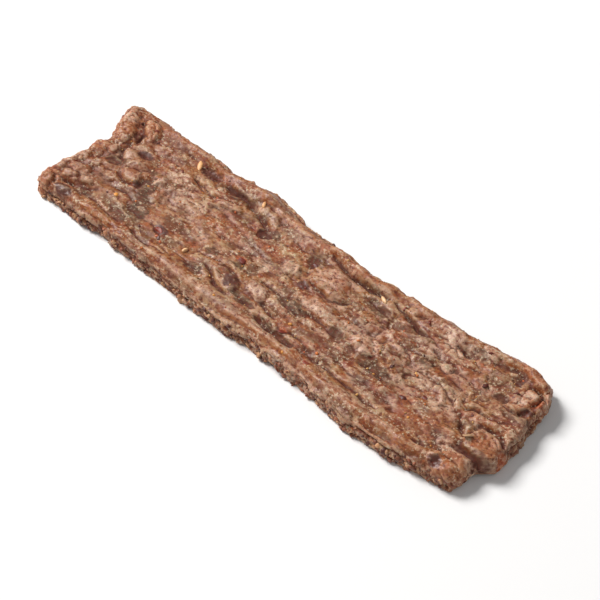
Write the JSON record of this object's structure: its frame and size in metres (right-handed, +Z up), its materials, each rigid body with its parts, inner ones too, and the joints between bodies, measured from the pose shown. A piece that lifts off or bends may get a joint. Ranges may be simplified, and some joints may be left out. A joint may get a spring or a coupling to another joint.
{
  "type": "beef jerky strip",
  "caption": "Flat strip of pressed, dried minced beef with rolled long edges, lumpy ends and a wrinkled top flecked with seeds and chilli.",
  "frame": {"origin": "under the middle of the strip, on the surface that it rests on", "axes": "+X along the strip towards its end with two big lumps, +Y across it towards the edge with the curled corner, +Z up out of its wrinkled top"},
  "size_m": [0.1566, 0.0466, 0.0079],
  "materials": {
    "dried_beef": "satin"
  },
  "bodies": {
    "root": {"jerky_strip": "dried_beef"}
  },
  "joints": []
}
